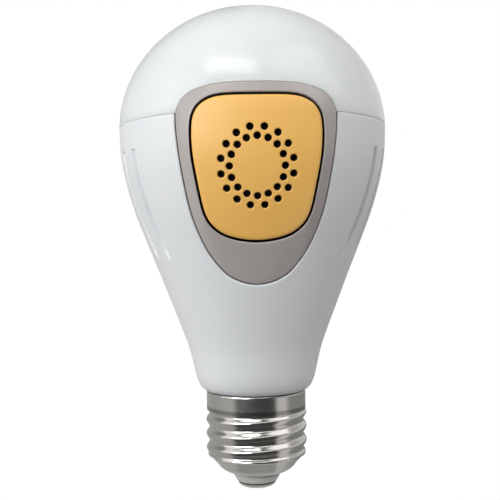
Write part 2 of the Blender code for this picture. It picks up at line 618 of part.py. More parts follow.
def main():
    clear_scene()
    body_white = finish("body_white", (0.80, 0.81, 0.82), 0.38)
    milky = finish("milky_plastic", (0.84, 0.85, 0.82), 0.42)
    taupe = finish("taupe_satin", (0.34, 0.31, 0.29), 0.40)
    gold_face = finish("gold_face", (0.80, 0.50, 0.18), 0.36)
    nickel = finish("nickel_plate", (0.72, 0.70, 0.67), 0.18, 1.0)
    grey_glass = finish("cap_grey", (0.45, 0.45, 0.44), 0.45)
    aluminium = finish("aluminium", (0.75, 0.76, 0.77), 0.35, 1.0)
    white_mask = finish("led_board_white", (0.88, 0.88, 0.86), 0.40)
    phosphor = finish("led_phosphor", (0.86, 0.78, 0.30), 0.30)
    steel = finish("steel", (0.60, 0.60, 0.60), 0.30, 1.0)
    dark = finish("dark_plastic", (0.06, 0.06, 0.065), 0.55)
    contact_gold = finish("contact_gold", (0.83, 0.62, 0.25), 0.22, 1.0)
    board_green = finish("board_green", (0.04, 0.22, 0.10), 0.45)
    tin = finish("tin_shield", (0.65, 0.66, 0.67), 0.30, 1.0)
    foil = finish("battery_foil", (0.55, 0.57, 0.60), 0.32, 0.6)
    cloth = finish("mesh_cloth", (0.03, 0.03, 0.03), 0.85)
    paper = finish("cone_paper", (0.09, 0.08, 0.08), 0.75)
    ferrite = finish("ferrite", (0.10, 0.10, 0.11), 0.60)
    finishes = {
        "board_green": board_green,
        "ferrite": ferrite,
        "sleeve": finish("capacitor_sleeve", (0.05, 0.07, 0.16), 0.40),
        "tape": finish("winding_tape", (0.78, 0.60, 0.12), 0.40),
        "copper": finish("copper_winding", (0.62, 0.28, 0.12), 0.30, 1.0),
        "film_yellow": finish("film_yellow", (0.78, 0.55, 0.10), 0.35),
        "chip_black": finish("chip_black", (0.04, 0.04, 0.045), 0.50),
        "resistor": finish("resistor_coat", (0.20, 0.42, 0.36), 0.45),
        "wire_black": finish("wire_black", (0.03, 0.03, 0.03), 0.45),
        "wire_white": finish("wire_white", (0.82, 0.82, 0.80), 0.45),
        "wire_red": finish("wire_red", (0.62, 0.05, 0.04), 0.45),
    }

    front_cutter = make_front_cutter()
    cut(make_diffuser_dome(milky), front_cutter)
    housing = cut(make_housing_shell(body_white), front_cutter)
    for side, side_name in ((-1, "left"), (1, "right")):
        for i in range(FLUTES_PER_SIDE):
            cut(housing, make_flute_cutter(f"flute_cutter_{side_name}_{i}", side, i))
    make_bezel(taupe)
    make_screw_shell(nickel)
    make_cap_end(grey_glass, nickel)
    make_heat_sink(aluminium)
    make_light_engine(white_mask, phosphor, steel)
    make_bay_liner(dark)
    make_dock(dark, contact_gold, board_green)
    make_latch(dark, steel)
    make_module_cover(gold_face)
    make_module_case(dark)
    make_speaker(dark, paper, ferrite, cloth)
    make_module_inside(board_green, tin, foil, dark, dark)
    make_driver(finishes)
    make_wires(finishes)


main()
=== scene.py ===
"""Looks of the smart light bulb: fine meshes, procedural materials, studio light and camera.

Shapes are worked out in millimetres in the frame's own axes: +Z along the bulb's axis,
-Y out of the front face, and the origin at the tip of the screw cap.
"""
import json
import math

import bmesh
import bpy
from mathutils import Matrix, Vector


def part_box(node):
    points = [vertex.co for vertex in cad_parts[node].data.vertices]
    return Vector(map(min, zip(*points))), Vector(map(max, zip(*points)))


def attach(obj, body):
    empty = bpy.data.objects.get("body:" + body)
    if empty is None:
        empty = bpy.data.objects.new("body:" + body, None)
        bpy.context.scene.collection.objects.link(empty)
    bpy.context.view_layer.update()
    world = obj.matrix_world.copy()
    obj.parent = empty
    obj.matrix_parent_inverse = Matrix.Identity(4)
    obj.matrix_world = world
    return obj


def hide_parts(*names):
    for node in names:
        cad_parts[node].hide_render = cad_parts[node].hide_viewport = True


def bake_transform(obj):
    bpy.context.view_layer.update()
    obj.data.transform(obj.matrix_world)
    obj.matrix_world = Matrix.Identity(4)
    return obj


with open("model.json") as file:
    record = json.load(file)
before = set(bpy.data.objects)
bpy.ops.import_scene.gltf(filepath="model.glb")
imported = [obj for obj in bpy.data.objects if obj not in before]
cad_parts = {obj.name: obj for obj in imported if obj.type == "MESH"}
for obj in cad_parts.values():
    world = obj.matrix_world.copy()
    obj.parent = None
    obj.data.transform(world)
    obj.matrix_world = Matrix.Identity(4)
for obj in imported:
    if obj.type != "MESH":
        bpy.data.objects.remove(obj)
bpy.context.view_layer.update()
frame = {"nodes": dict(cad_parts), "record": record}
MM = 0.001


def top_of(node):
    """Highest z of a CAD node, in millimetres."""
    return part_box(node)[1].z / MM


def bottom_of(node):
    """Lowest z of a CAD node, in millimetres."""
    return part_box(node)[0].z / MM


# driving sizes, shared with the CAD model, but the two outlines are up to 0.8 mm wider here
BODY_SKIN = ((27.5, 15.0), (29.0, 15.45), (32.0, 16.15), (36.0, 17.1), (40.0, 18.45),
             (48.0, 21.5), (56.0, 24.6), (64.0, 27.8), (72.0, 30.8), (80.0, 33.05),
             (86.0, 34.05), (93.3, 34.39))
BEZEL_OUTLINE = ((0.0, 99.6), (8.0, 99.5), (13.4, 98.6), (16.5, 97.0), (18.2, 94.3),
                 (18.4, 91.5), (18.1, 87.0), (16.95, 79.0), (15.0, 70.0), (11.8, 62.3),
                 (8.15, 57.3), (5.4, 55.2), (2.7, 54.15), (0.0, 53.8))
OPENING_OUTLINE = ((0.0, 97.15), (8.5, 97.0), (12.5, 95.6), (14.6, 93.1), (15.3, 89.7),
                   (15.15, 84.0), (14.05, 77.2), (12.4, 70.0), (9.75, 66.35), (5.8, 64.35),
                   (0.0, 63.55))
BODY_TOP = top_of("housing_shell") + 0.12
SPIGOT_LOW = bottom_of("housing_shell")
SEAM_Z = BODY_TOP + 0.03
APEX_Z = top_of("diffuser_dome")
CAP_TOP = top_of("screw_shell")
WALL = 1.9
BODY_BOTTOM_Z = 25.4
FOOT = ((14.65, 26.95), (14.3, 26.45), (13.8, 25.95), (13.45, 25.68), (13.1, 25.48),
        (12.8, 25.4))
SPIGOT_R = 11.2
SPIGOT_WALL = 1.3
DOME_MID_Z = 92.5
DOME_RADIUS = 34.4
DOME_RISE = APEX_Z - DOME_MID_Z
DOME_WALL = 1.7
FACE_RADIUS = 55.0
OUTLINE_COUNT = 200

FLUTES_PER_SIDE = 6
FLUTE_SPACING = 6.9
FLUTE_HALF_WIDTH = 1.2
FLUTE_TOP_DEPTH = 0.7
FLUTE_FOOT_DEPTH = 0.35
FLUTE_LOW_Z = 59.6
FLUTE_HIGH_Z = 86.6
FLUTE_POINT = 2.5
FLUTE_EDGE_SHARE = 0.42
FLUTE_TOP_RAMP = 0.5

THREAD_PITCH = 3.629
THREAD_MEAN_R = 12.7
THREAD_DEPTH = 0.8
THREAD_FIRST_CREST_Z = 17.65
THREAD_LOW_Z = 8.6
THREAD_HIGH_Z = 20.6
THREAD_FADE = 1.2
CAP_BAND_R = 12.9
CAP_BORE_R = 11.5

BEZEL_THICK = 2.0
COVER_GAP = 0.52
COVER_THICK = 1.6
PAINT_REACH = 0.45
GRILLE_Z = 80.7
HOLE_RADIUS = 0.84
# (depth from the face, extra radius) along a sound hole's cutter
HOLE_MOUTH = ((-6.0, 0.27), (-0.05, 0.27), (0.05, 0.16), (0.16, 0.05), (0.24, 0.0), (6.0, 0.0))
HOLES_PER_RING = 16
OUTER_RING = (8.4, 8.87)
INNER_RING = (6.34, 6.68)
WINDOW_SPARE = 0.3
WINDOW_BEHIND = 2.0

# the studio's sides by heading in degrees, 0 in front and positive to the right, and its grey
# levels: each room band rises between two elevations, and the underlight is near the cap's tip
LEFT, FRONT, STRIP, RIGHT = (-180, -56), (-42, 38), (48, 64), (78, 180)


def tones(left, front, strip, right):
    """Stops of (heading, level) for the four sides of the studio."""
    levels = (left, front, strip, right)
    sides = (LEFT, FRONT, STRIP, RIGHT)
    return [(edge, level) for side, level in zip(sides, levels) for edge in side]


ROOM_BANDS = (((-90, -90), tones(0.47, 0.03, 0.40, 0.72)),
              ((14, 30), tones(0.25, 0.02, 0.30, 0.48)),
              ((45, 65), tones(0.45, 0.30, 0.50, 0.62)))
FLOOR_TONES = tones(0.42, 0.02, 0.66, 0.25)
FLOOR_COLOUR = (0.05, 0.05, 0.05)
UNDERLIGHT = 0.48
UNDERLIGHT_RADII = (0.005, 0.019)


# ---------------------------------------------------------------- mesh helpers

def piece_from(name, bm, sharp_angle=35.0):
    """Object in metres from a bmesh in millimetres, shaded smooth except at sharp edges."""
    bmesh.ops.scale(bm, verts=bm.verts, vec=(MM, MM, MM))
    bmesh.ops.recalc_face_normals(bm, faces=bm.faces)
    mesh = bpy.data.meshes.new(name)
    bm.to_mesh(mesh)
    bm.free()
    mesh.shade_smooth()
    mesh.set_sharp_from_angle(angle=math.radians(sharp_angle))
    piece = bpy.data.objects.new(name, mesh)
    bpy.context.scene.collection.objects.link(piece)
    return piece


def loft(name, rings, closed=False, sharp_angle=35.0):
    """Skin over rings of equal length, either capped or joined end to end."""
    bm = bmesh.new()
    made = [[bm.verts.new(point) for point in ring] for ring in rings]
    pairs = list(zip(made, made[1:]))
    if closed:
        pairs.append((made[-1], made[0]))
    for one, two in pairs:
        for i in range(len(one)):
            j = (i + 1) % len(one)
            bm.faces.new((one[i], one[j], two[j], two[i]))
    if not closed:
        bm.faces.new(made[0])
        bm.faces.new(made[-1])
    return piece_from(name, bm, sharp_angle)


def lathe(name, profile, steps=160, sharp_angle=35.0):
    """Spin a profile of (radius, height) about Z, closed unless it ends on the axis."""
    bm = bmesh.new()
    verts = [bm.verts.new((radius, 0.0, height)) for radius, height in profile]
    edges = [bm.edges.new(pair) for pair in zip(verts, verts[1:])]
    if profile[0][0] > 0.0 or profile[-1][0] > 0.0:
        edges.append(bm.edges.new((verts[-1], verts[0])))
    bmesh.ops.spin(bm, geom=verts + edges, cent=(0, 0, 0), axis=(0, 0, 1),
                   angle=2 * math.pi, steps=steps, use_merge=True)
    bmesh.ops.remove_doubles(bm, verts=bm.verts, dist=1e-4)
    return piece_from(name, bm, sharp_angle)


def carve(piece, cutter, sharp_angle=35.0):
    """Take a cutter away from a piece for good."""
    boolean = piece.modifiers.new("cut", "BOOLEAN")
    boolean.operation = "DIFFERENCE"
    boolean.solver = "EXACT"
    boolean.object = cutter
    graph = bpy.context.evaluated_depsgraph_get()
    mesh = bpy.data.meshes.new_from_object(piece.evaluated_get(graph))
    piece.modifiers.clear()
    piece.data = mesh
    mesh.shade_smooth()
    mesh.set_sharp_from_angle(angle=math.radians(sharp_angle))
    bpy.data.objects.remove(cutter, do_unlink=True)
    return piece


def box_cutter(low, high):
    """Plain box used only to cut."""
    bm = bmesh.new()
    bmesh.ops.create_cube(bm, size=1.0)
    bmesh.ops.scale(bm, verts=bm.verts, vec=[b - a for a, b in zip(low, high)])
    bmesh.ops.translate(bm, verts=bm.verts, vec=[(a + b) / 2 for a, b in zip(low, high)])
    return piece_from("cutter", bm)


# ---------------------------------------------------------------- shape rules

def hermite(start, end, slope_in, slope_out, t):
    """Cubic value between two points with given slopes."""
    a = 2 * start - 2 * end + slope_in + slope_out
    b = 3 * end - 3 * start - 2 * slope_in - slope_out
    return ((a * t + b) * t + slope_in) * t + start


def skin_radius(z):
    """Radius of the outer skin at height z."""
    if z >= SEAM_Z:
        rise = (z - DOME_MID_Z) / DOME_RISE
        return DOME_RADIUS * math.sqrt(max(1.0 - rise * rise, 0.0))
    last = len(BODY_SKIN) - 2
    index = 0
    while index < last and BODY_SKIN[index + 1][0] < z:
        index += 1
    (z0, r0), (z1, r1) = BODY_SKIN[index], BODY_SKIN[index + 1]
    zb, rb = BODY_SKIN[max(index - 1, 0)]
    za, ra = BODY_SKIN[min(index + 2, last + 1)]
    span = z1 - z0
    slope_in = (r1 - rb) / (z1 - zb) * span
    slope_out = (ra - r0) / (za - z0) * span
    return hermite(r0, r1, slope_in, slope_out, (z - z0) / span)


def face_y(x, z):
    """Depth of the flattened front face."""
    return -(skin_radius(z) - x * x / (2 * FACE_RADIUS))


def skin_y(x, z):
    """Depth of the round skin in front of the axis."""
    radius = skin_radius(z)
    return -math.sqrt(max(radius * radius - x * x, 0.0))


def outline(half, count=OUTLINE_COUNT):
    """Smooth closed loop of (x, z) from a half outline, evenly spaced along its length."""
    loop = list(half) + [(-x, z) for x, z in half[-2:0:-1]]
    total = len(loop)
    parts = 24
    fine = []
    for i in range(total):
        before, start, end, after = [loop[(i + shift) % total] for shift in (-1, 0, 1, 2)]
        for step in range(parts):
            fine.append(tuple(hermite(start[k], end[k], (end[k] - before[k]) / 2,
                                      (after[k] - start[k]) / 2, step / parts) for k in (0, 1)))
    lengths = [0.0]
    for one, two in zip(fine, fine[1:] + fine[:1]):
        lengths.append(lengths[-1] + math.dist(one, two))
    spaced = []
    seat = 0
    for i in range(count):
        target = lengths[-1] * i / count
        while lengths[seat + 1] < target:
            seat += 1
        t = (target - lengths[seat]) / (lengths[seat + 1] - lengths[seat])
        one, two = fine[seat], fine[(seat + 1) % len(fine)]
        spaced.append(tuple(a + (b - a) * t for a, b in zip(one, two)))
    return spaced


def grow(loop, distance):
    """Move each point of a clockwise loop outwards by a distance."""
    grown = []
    for i, (x, z) in enumerate(loop):
        before, after = loop[i - 1], loop[(i + 1) % len(loop)]
        dx, dz = after[0] - before[0], after[1] - before[1]
        length = math.hypot(dx, dz)
        grown.append((x - dz / length * distance, z + dx / length * distance))
    return grown


def on_face(loop, depth=0.0):
    """Loop laid on the front face, moved in by a depth."""
    return [(x, face_y(x, z) + depth, z) for x, z in loop]


def at_depth(loop, y):
    """Loop laid on a plane across Y."""
    return [(x, y, z) for x, z in loop]


def ease(value):
    """Smooth step from 0 to 1."""
    t = min(max(value, 0.0), 1.0)
    return t * t * (3 - 2 * t)


def fillet(distance, radius):
    """Depth of a rounded edge at a distance in from the edge."""
    if distance >= radius:
        return 0.0
    return radius - math.sqrt(radius * radius - (radius - distance) ** 2)


def shrunk(loop, share):
    """Loop scaled towards the centre of the grille."""
    return [(x * share, GRILLE_Z + (z - GRILLE_Z) * share) for x, z in loop]


# ---------------------------------------------------------------- body and dome

FLUTE_SHARES = (-1.35, -1.12, -1.0, -0.9, -0.78, -0.66, -0.55, -0.3, 0.0,
                0.3, 0.55, 0.66, 0.78, 0.9, 1.0, 1.12, 1.35)


def flute_columns():
    """Offsets along the skin of the mesh columns of one side, dense at each flute."""
    offsets = []
    for i in range(FLUTES_PER_SIDE):
        middle = (i - (FLUTES_PER_SIDE - 1) / 2) * FLUTE_SPACING
        offsets += [middle + FLUTE_HALF_WIDTH * share for share in FLUTE_SHARES]
        if i < FLUTES_PER_SIDE - 1:
            offsets += [middle + FLUTE_SPACING * share for share in (0.35, 0.5, 0.65)]
    edge = (FLUTES_PER_SIDE / 2) * FLUTE_SPACING
    return [-edge] + offsets + [edge]


def flute_depth(offset, z):
    """How deep the skin is pressed in: each flute's floor is straight, the skin is curved."""
    row = round(offset / FLUTE_SPACING + (FLUTES_PER_SIDE - 1) / 2)
    middle = (row - (FLUTES_PER_SIDE - 1) / 2) * FLUTE_SPACING
    share = (z - FLUTE_LOW_Z) / (FLUTE_HIGH_Z - FLUTE_LOW_Z)
    if not 0.0 < share < 1.0:
        return 0.0
    low_r = skin_radius(FLUTE_LOW_Z) - FLUTE_FOOT_DEPTH
    high_r = skin_radius(FLUTE_HIGH_Z) - FLUTE_TOP_DEPTH
    depth = max(skin_radius(z) - low_r - (high_r - low_r) * share, 0.0)
    narrow = min(1.0, math.sqrt(max(z - FLUTE_LOW_Z, 0.0) / FLUTE_POINT))
    across = ease((narrow - abs(offset - middle) / FLUTE_HALF_WIDTH) / FLUTE_EDGE_SHARE)
    top = ease((FLUTE_HIGH_Z - z) / FLUTE_TOP_RAMP)
    return depth * across * top


def body_ring(radius, z, offsets, fluted):
    """Ring of the body whose columns follow the flutes, which draw together downwards."""
    taper = 0.96 + 0.08 * (z - FLUTE_LOW_Z) / (FLUTE_HIGH_Z - FLUTE_LOW_Z)
    taper = min(max(taper, 0.92), 1.05)
    reach = skin_radius(max(z, BODY_SKIN[0][0]))
    right = [(offset * taper / reach, offset) for offset in offsets]
    edge = right[-1][0]
    gaps = 40
    between = [edge + (math.pi - 2 * edge) * i / gaps for i in range(1, gaps)]
    left = [(math.pi - angle, offset) for angle, offset in reversed(right)]
    columns = right + [(angle, None) for angle in between] + left
    columns += [(angle + math.pi, None) for angle in between]
    ring = []
    for angle, offset in columns:
        depth = flute_depth(offset, z) if fluted and offset is not None else 0.0
        ring.append(((radius - depth) * math.cos(angle), (radius - depth) * math.sin(angle), z))
    return ring


def front_cutter(gap, rounding):
    """Cutter for the front opening, flared so that it leaves a rounded rim."""
    loop = outline(BEZEL_OUTLINE)
    clear_front, clear_back = -60.0, -15.0
    steps = 6
    mouth = grow(loop, gap + rounding)
    rings = [at_depth(mouth, clear_front), [(x, skin_y(x, z), z) for x, z in mouth]]
    for i in range(1, steps + 1):
        turn = math.pi / 2 * i / steps
        ring = grow(loop, gap + rounding - rounding * math.sin(turn))
        depth = rounding - rounding * math.cos(turn)
        rings.append([(x, skin_y(x, z) + depth, z) for x, z in ring])
    rings.append(at_depth(grow(loop, gap), clear_back))
    return loft("cutter", rings)


def body_heights():
    """Heights of the body's rings from the top down, dense at both ends of the flutes."""
    rows = 22
    high = 85.4
    heights = [92.0, 91.0, 90.0, 88.8, 87.6, 87.0]
    heights += [FLUTE_HIGH_Z - step for step in (0.0, 0.08, 0.18, 0.3, 0.42, 0.5, 0.6, 0.9)]
    heights += [high - (high - FLUTE_LOW_Z - FLUTE_POINT) * i / rows for i in range(rows + 1)]
    heights += [FLUTE_LOW_Z + step for step in (1.9, 1.4, 1.0, 0.65, 0.35, 0.15, 0.0)]
    return heights + [58.8 - 1.5 * i for i in range(21)]


def make_body():
    """White tapered body with its pressed flutes and rounded rims."""
    offsets = flute_columns()
    rounding = 0.35
    rim = skin_radius(SEAM_Z)
    rings = []
    for turn in (90, 60, 30, 0):
        a = math.radians(turn)
        rings.append(body_ring(rim - rounding + rounding * math.cos(a),
                               BODY_TOP - rounding + rounding * math.sin(a), offsets, False))
    rings += [body_ring(skin_radius(z), z, offsets, True) for z in body_heights()]
    rings += [body_ring(radius, z, offsets, False) for radius, z in FOOT]
    inside = [(SPIGOT_R, BODY_BOTTOM_Z), (SPIGOT_R, SPIGOT_LOW),
              (SPIGOT_R - SPIGOT_WALL, SPIGOT_LOW), (SPIGOT_R - SPIGOT_WALL, 27.4), (13.4, 29.2)]
    inside += [(skin_radius(z) - WALL, z) for z in (34, 40, 48, 56, 64, 72, 80, 86)]
    inside.append((rim - WALL, BODY_TOP))
    rings += [body_ring(radius, z, offsets, False) for radius, z in inside]
    body = loft("body_shell", rings, closed=True, sharp_angle=30.0)
    return carve(body, front_cutter(gap=0.2, rounding=0.6), sharp_angle=30.0)


def make_dome():
    """Milky dome with a rounded lower edge and a lip inside the body."""
    bottom = SEAM_Z + 0.03
    rounding = 0.3
    outer = [(DOME_RADIUS * math.sin(a), DOME_MID_Z + DOME_RISE * math.cos(a))
             for a in [math.radians(2.5 * i) for i in range(35)]]
    outer = [(radius, z) for radius, z in outer if z > bottom + rounding + 0.2]
    rim = skin_radius(bottom)
    edge = [(rim - rounding + rounding * math.cos(a), bottom + rounding - rounding * math.sin(a))
            for a in [math.radians(30 * i) for i in range(4)]]
    lip_outer, lip_inner, lip_low, lip_high = 32.1, 30.9, 90.9, 92.4
    lip = [(lip_outer, bottom), (lip_outer, lip_low), (lip_inner, lip_low), (lip_inner, lip_high)]
    inner_r, inner_rise = DOME_RADIUS - DOME_WALL, DOME_RISE - DOME_WALL
    inner = [(inner_r * math.sin(a), DOME_MID_Z + inner_rise * math.cos(a))
             for a in [math.radians(84 - 6 * i) for i in range(15)]]
    dome = lathe("dome", outer + edge + lip + inner, steps=180)
    return carve(dome, front_cutter(gap=0.03, rounding=0.1))


# ---------------------------------------------------------------- front face

def make_bezel():
    """Shield-shaped frame with rounded edges, from the round skin in to the flat face."""
    inner, outer = outline(OPENING_OUTLINE), outline(BEZEL_OUTLINE)
    edge = (0.0, 0.03, 0.1, 0.2, 0.35)
    rounding = edge[-1]
    middle = 10
    count = 2 * len(edge) + middle - 1
    rings = [[] for _ in range(count)]
    for (xi, zi), (xo, zo) in zip(inner, outer):
        width = math.dist((xi, zi), (xo, zo))
        stations = list(edge)
        stations += [rounding + (width - 2 * rounding) * i / middle for i in range(1, middle)]
        stations += [width - step for step in reversed(edge)]
        for ring, station in zip(rings, stations):
            share = station / width
            x, z = xi + (xo - xi) * share, zi + (zo - zi) * share
            depth = fillet(station, rounding) + fillet(width - station, rounding)
            ring.append((x, face_y(x, z) * (1 - share) + skin_y(x, z) * share + depth, z))
    back = [[(x, y + BEZEL_THICK - rounding, z) for x, y, z in ring]
            for ring in (rings[-1], rings[0])]
    return loft("bezel_frame", rings + back, closed=True, sharp_angle=40.0)


def inward_at(x, z, reach=0.1):
    """Direction square to the front face, into the bulb."""
    slope_x = face_y(x + reach, z) - face_y(x - reach, z)
    slope_z = face_y(x, z + reach) - face_y(x, z - reach)
    return Vector((-slope_x / (2 * reach), 1.0, -slope_z / (2 * reach))).normalized()


def add_hole(bm, x, z):
    """Closed cutter of one sound hole, square to the face and flared at its mouth."""
    sides = 28
    turn = inward_at(x, z).to_track_quat("Z", "X").to_matrix()
    centre = Vector((x, face_y(x, z), z))
    rings = []
    for depth, flare in HOLE_MOUTH:
        radius = HOLE_RADIUS + flare
        angles = [2 * math.pi * k / sides for k in range(sides)]
        spots = [Vector((radius * math.cos(a), radius * math.sin(a), depth)) for a in angles]
        rings.append([bm.verts.new(centre + turn @ spot) for spot in spots])
    for one, two in zip(rings, rings[1:]):
        for k in range(sides):
            j = (k + 1) % sides
            bm.faces.new((one[k], one[j], two[j], two[k]))
    bm.faces.new(rings[0])
    bm.faces.new(rings[-1])


def hole_cutter():
    """Cutter for the two staggered rings of sound holes."""
    bm = bmesh.new()
    for (ring_x, ring_z), offset in ((OUTER_RING, 0.5), (INNER_RING, 0.0)):
        for i in range(HOLES_PER_RING):
            angle = 2 * math.pi * (i + offset) / HOLES_PER_RING
            add_hole(bm, ring_x * math.sin(angle), GRILLE_Z + ring_z * math.cos(angle))
    return piece_from("cutter", bm)


def window_cutter(node, back_y, reach):
    """Cutter for a window round a CAD node in a back wall, from a reach in front of its back."""
    low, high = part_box(node)
    return box_cutter(
        (low.x / MM - WINDOW_SPARE, back_y - reach, low.z / MM - WINDOW_SPARE),
        (high.x / MM + WINDOW_SPARE, back_y + WINDOW_BEHIND, high.z / MM + WINDOW_SPARE))


def make_module_face():
    """Gold front of the module with a rounded edge and two rings of sound holes."""
    loop = grow(outline(OPENING_OUTLINE), -COVER_GAP)
    edge = (0.0, 0.04, 0.13, 0.3, 0.6)
    rounding = edge[-1]
    flat = grow(loop, -2 * rounding)
    front_shares = (0.06, 0.15, 0.25, 0.35, 0.45, 0.55, 0.65, 0.75, 0.84, 0.92, 1.0)
    back_shares = (0.5, 0.06)
    rings = [on_face(shrunk(flat, share)) for share in front_shares]
    rings += [on_face(grow(loop, -step), fillet(step, rounding)) for step in reversed(edge)]
    rings.append(on_face(loop, COVER_THICK))
    rings += [on_face(shrunk(loop, share), COVER_THICK) for share in back_shares]
    face = loft("module_face", rings, sharp_angle=40.0)
    return carve(face, hole_cutter(), sharp_angle=40.0)


def make_module_back():
    """Dark back shell of the module, with a shadow groove and rounded back edge."""
    wall = 1.1
    outer = grow(outline(OPENING_OUTLINE), -COVER_GAP - 0.2)
    inner = grow(outer, -wall)
    rim = COVER_THICK + 0.3
    back_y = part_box("module_case")[1].y / MM
    rounding = 0.8
    rings = [at_depth(inner, back_y - wall), on_face(inner, rim), on_face(outer, rim)]
    groove = ((1.2, 0.0), (1.3, 0.3), (1.9, 0.3), (2.0, 0.0))
    rings += [on_face(grow(outer, -inset), rim + depth) for depth, inset in groove]
    for i in range(6):
        a = math.radians(90 * i / 5)
        inset, drop = rounding * (1 - math.cos(a)), rounding * (1 - math.sin(a))
        rings.append(at_depth(grow(outer, -inset), back_y - drop))
    back = loft("module_back", rings)
    return carve(back, window_cutter("module_socket", back_y, reach=3.0))


def make_bay_pocket():
    """Dark pocket behind the bezel that the module slides into."""
    wall, back_wall = 1.2, 1.5
    inner = outline(OPENING_OUTLINE)
    outer = grow(inner, wall)
    back_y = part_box("bay_liner")[1].y / MM
    rim = BEZEL_THICK + 0.3
    lean = wall * 1.35
    front_outer = [(x, face_y(xi, zi) + rim + lean, z) for (x, z), (xi, zi) in zip(outer, inner)]
    corner = 0.8
    rings = []
    for i in range(5):
        a = math.radians(90 * i / 4)
        inset, drop = corner * (1 - math.sin(a)), corner * (1 - math.cos(a))
        rings.append(at_depth(grow(inner, -inset), back_y - back_wall - drop))
    rings += [on_face(inner, rim), front_outer, at_depth(outer, back_y)]
    pocket = loft("bay_pocket", rings)
    return carve(pocket, window_cutter("dock_header", back_y, reach=3.5))


# ---------------------------------------------------------------- screw cap

def make_cap():
    """Rolled screw shell with a right-hand thread, folded over at its lower end."""
    steps = 180

    def ring(radius, z):
        return [(radius * math.cos(a), radius * math.sin(a), z)
                for a in [2 * math.pi * i / steps for i in range(steps)]]

    def threaded_ring(z):
        fade = ease(min(THREAD_HIGH_Z - z, z - THREAD_LOW_Z) / THREAD_FADE)
        made = []
        for i in range(steps):
            angle = 2 * math.pi * i / steps
            turns = (z - THREAD_FIRST_CREST_Z) / THREAD_PITCH - (angle - math.pi) / (2 * math.pi)
            radius = THREAD_MEAN_R + THREAD_DEPTH / 2 * fade * math.cos(2 * math.pi * turns)
            made.append((radius * math.cos(angle), radius * math.sin(angle), z))
        return made

    rows = 84
    step = (THREAD_HIGH_Z - THREAD_LOW_Z) / rows
    collar = ((0.25, 0.0), (0.07, 0.07), (0.0, 0.25), (0.0, 0.4), (0.0, 3.0), (0.0, 4.8))
    neck = ((0.0, 21.4), (0.05, 21.1), (0.15, 20.8))
    shoulder = ((12.35, 8.4), (12.0, 8.15), (11.6, 7.7), (11.15, 7.2), (10.7, 6.75),
                (10.3, 6.25), (9.95, 5.75), (9.5, 5.25), (8.9, 4.8), (8.1, 4.35), (7.1, 3.9),
                (6.55, 3.68), (6.2, 3.6), (5.85, 3.66), (5.7, 3.9))
    inside = ((8.2, 5.6), (9.4, 7.0), (CAP_BORE_R, 9.4), (CAP_BORE_R, CAP_TOP))
    rings = [ring(CAP_BAND_R - inset, CAP_TOP - drop) for inset, drop in collar]
    rings += [ring(CAP_BAND_R - inset, z) for inset, z in neck]
    rings += [threaded_ring(THREAD_HIGH_Z - step * i) for i in range(rows + 1)]
    rings += [ring(*spot) for spot in shoulder + inside]
    return loft("cap_shell", rings, closed=True)


def make_cap_tip():
    """Insulator cone and the rounded centre contact."""
    insulator = ((1.5, 1.5), (4.95, 1.5), (5.2, 1.6), (5.5, 2.0), (5.85, 2.65), (6.0, 3.0),
                 (6.05, 3.3), (5.9, 3.45), (5.5, 3.5), (5.5, 6.0), (6.8, 7.0), (6.8, 8.2),
                 (1.5, 8.2))
    contact = ((0.0, 6.5), (1.1, 6.5), (1.1, 1.2), (4.8, 1.2), (4.95, 1.1), (4.85, 0.9),
               (4.6, 0.62), (4.25, 0.36), (3.8, 0.15), (3.35, 0.04), (2.9, 0.0), (0.0, 0.0))
    cone = lathe("insulator_cone", insulator, steps=96)
    button = lathe("contact_button", contact, steps=96)
    return cone, button


def make_coil(name, node):
    """Fine round-wire coil on the centre of a CAD spring."""
    low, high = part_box(node)
    middle = (low + high) / 2
    wire_r = 0.2
    turns, per_turn = 4, 28
    reach = (high.x - low.x) / 2 / MM - wire_r
    start, end = low.y / MM + wire_r, high.y / MM - wire_r
    curve = bpy.data.curves.new(name, "CURVE")
    curve.dimensions = "3D"
    curve.bevel_depth = wire_r * MM
    curve.bevel_resolution = 3
    curve.use_fill_caps = True
    spline = curve.splines.new("POLY")
    count = turns * per_turn
    spline.points.add(count)
    for i, spot in enumerate(spline.points):
        a = 2 * math.pi * i / per_turn
        spot.co = (middle.x + reach * math.cos(a) * MM,
                   (start + (end - start) * i / count) * MM,
                   middle.z + reach * math.sin(a) * MM, 1.0)
    wound_wire = bpy.data.objects.new(name + "_curve", curve)
    coil = bpy.data.objects.new(name, bpy.data.meshes.new_from_object(wound_wire))
    bpy.data.objects.remove(wound_wire)
    bpy.context.scene.collection.objects.link(coil)
    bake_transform(coil)
    return coil


# ---------------------------------------------------------------- materials

def new_material(name):
    """New material with a Principled shader, with its nodes and its links."""
    material = bpy.data.materials.new(name)
    material.use_nodes = True
    return material, material.node_tree.nodes, material.node_tree.links


def noise(nodes, links, scale, detail=3.0, stretch=None):
    """Noise in the object's own space, in features per metre."""
    where = nodes.new("ShaderNodeTexCoord")
    texture = nodes.new("ShaderNodeTexNoise")
    texture.inputs["Scale"].default_value = scale
    texture.inputs["Detail"].default_value = detail
    if stretch:
        mapping = nodes.new("ShaderNodeMapping")
        mapping.inputs["Scale"].default_value = stretch
        links.new(where.outputs["Object"], mapping.inputs["Vector"])
        links.new(mapping.outputs["Vector"], texture.inputs["Vector"])
    else:
        links.new(where.outputs["Object"], texture.inputs["Vector"])
    return texture.outputs["Fac"]


def vary(nodes, links, factor, low, high):
    """Map the usual span of a noise value to a range."""
    ranged = nodes.new("ShaderNodeMapRange")
    ranged.inputs["From Min"].default_value = 0.3
    ranged.inputs["From Max"].default_value = 0.7
    ranged.inputs["To Min"].default_value = low
    ranged.inputs["To Max"].default_value = high
    links.new(factor, ranged.inputs["Value"])
    return ranged.outputs["Result"]


